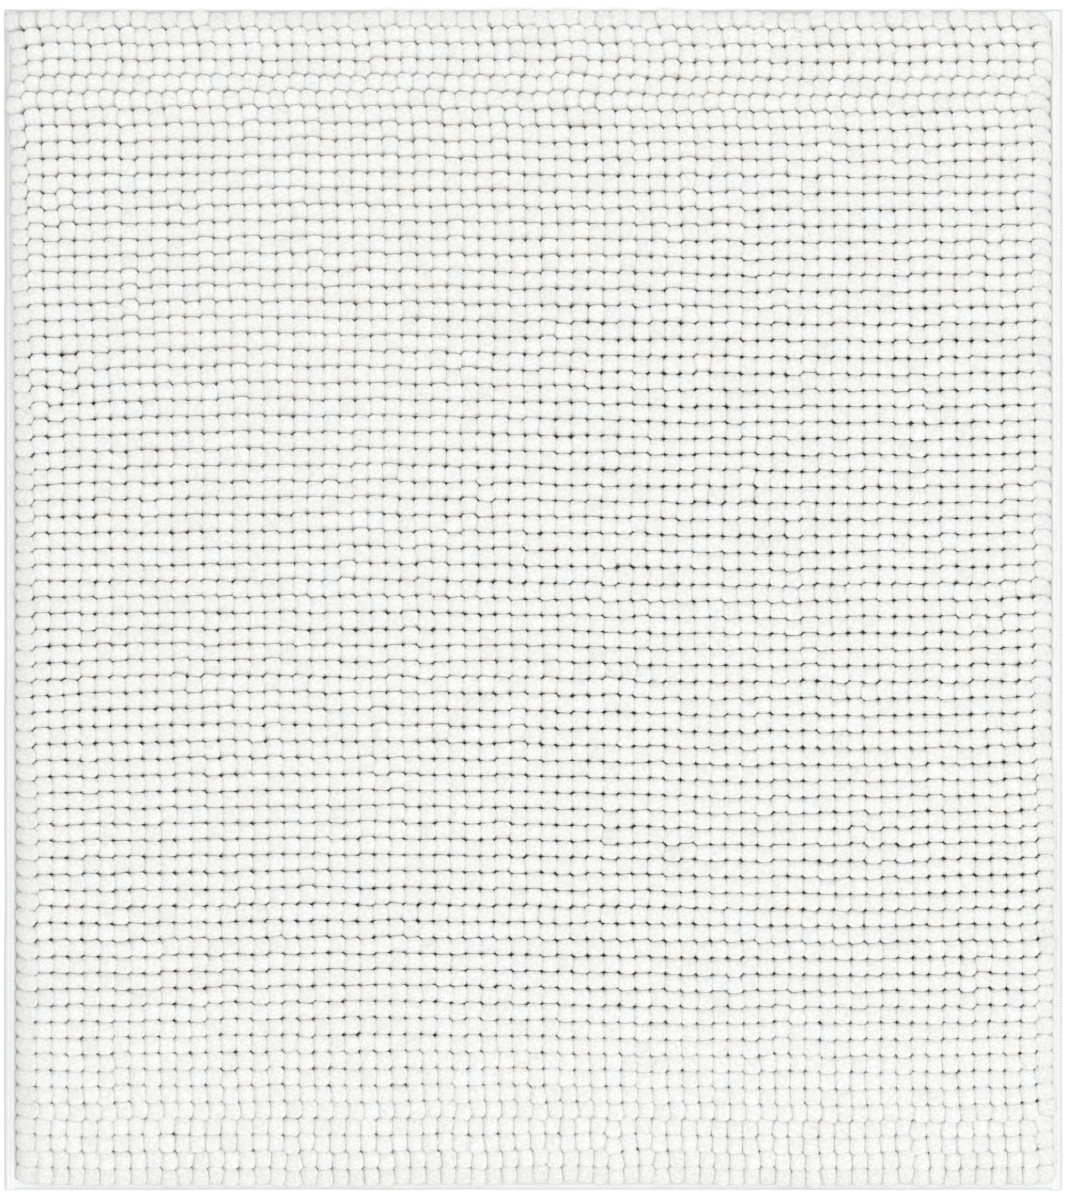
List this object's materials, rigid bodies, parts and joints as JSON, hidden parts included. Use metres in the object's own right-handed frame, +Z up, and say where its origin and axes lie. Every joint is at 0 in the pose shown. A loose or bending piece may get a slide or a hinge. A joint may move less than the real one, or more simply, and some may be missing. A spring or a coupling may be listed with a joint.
{
  "type": "bath mat",
  "caption": "Rectangular bath mat with a deep pile of white chenille yarn loops, bound edges and an anti-slip underside.",
  "frame": {"origin": "middle of the underside, on the plane the mat rests on", "axes": "+X along the yarn rows (the mat's width), +Y along its length, +Z up out of the pile"},
  "size_m": [0.538, 0.6, 0.016],
  "materials": {
    "chenille_yarn": "soft plush pile",
    "ground_cloth": "plain weave",
    "latex_coat": "matt",
    "anti_slip_backing": "matt, fine grip dots",
    "binding_tape": "ribbed woven tape",
    "sewing_thread": "twisted thread",
    "care_label": "satin ribbon, blank"
  },
  "bodies": {
    "root": {"yarn_pair_01": "chenille_yarn", "yarn_pair_02": "chenille_yarn", "yarn_pair_03": "chenille_yarn", "yarn_pair_04": "chenille_yarn", "yarn_pair_05": "chenille_yarn", "yarn_pair_06": "chenille_yarn", "yarn_pair_07": "chenille_yarn", "yarn_pair_08": "chenille_yarn", "yarn_pair_09": "chenille_yarn", "yarn_pair_10": "chenille_yarn", "yarn_pair_11": "chenille_yarn", "yarn_pair_12": "chenille_yarn", "yarn_pair_13": "chenille_yarn", "yarn_pair_14": "chenille_yarn", "yarn_pair_15": "chenille_yarn", "yarn_pair_16": "chenille_yarn", "yarn_pair_17": "chenille_yarn", "yarn_pair_18": "chenille_yarn", "yarn_pair_19": "chenille_yarn", "yarn_pair_20": "chenille_yarn", "yarn_pair_21": "chenille_yarn", "yarn_pair_22": "chenille_yarn", "yarn_pair_23": "chenille_yarn", "yarn_pair_24": "chenille_yarn", "yarn_pair_25": "chenille_yarn", "yarn_pair_26": "chenille_yarn", "yarn_pair_27": "chenille_yarn", "yarn_pair_28": "chenille_yarn", "yarn_pair_29": "chenille_yarn", "yarn_pair_30": "chenille_yarn", "yarn_pair_31": "chenille_yarn", "yarn_pair_32": "chenille_yarn", "yarn_pair_33": "chenille_yarn", "yarn_pair_34": "chenille_yarn", "yarn_pair_35": "chenille_yarn", "yarn_pair_36": "chenille_yarn", "ground_cloth": "ground_cloth", "latex_coat": "latex_coat", "anti_slip_backing": "anti_slip_backing", "binding_tape_left": "binding_tape", "needle_thread_left": "sewing_thread", "bobbin_thread_left": "sewing_thread", "binding_tape_right": "binding_tape", "needle_thread_right": "sewing_thread", "bobbin_thread_right": "sewing_thread", "binding_tape_near": "binding_tape", "needle_thread_near": "sewing_thread", "bobbin_thread_near": "sewing_thread", "binding_tape_far": "binding_tape", "needle_thread_far": "sewing_thread", "bobbin_thread_far": "sewing_thread", "care_label": "care_label", "label_stitches": "sewing_thread"}
  },
  "joints": []
}
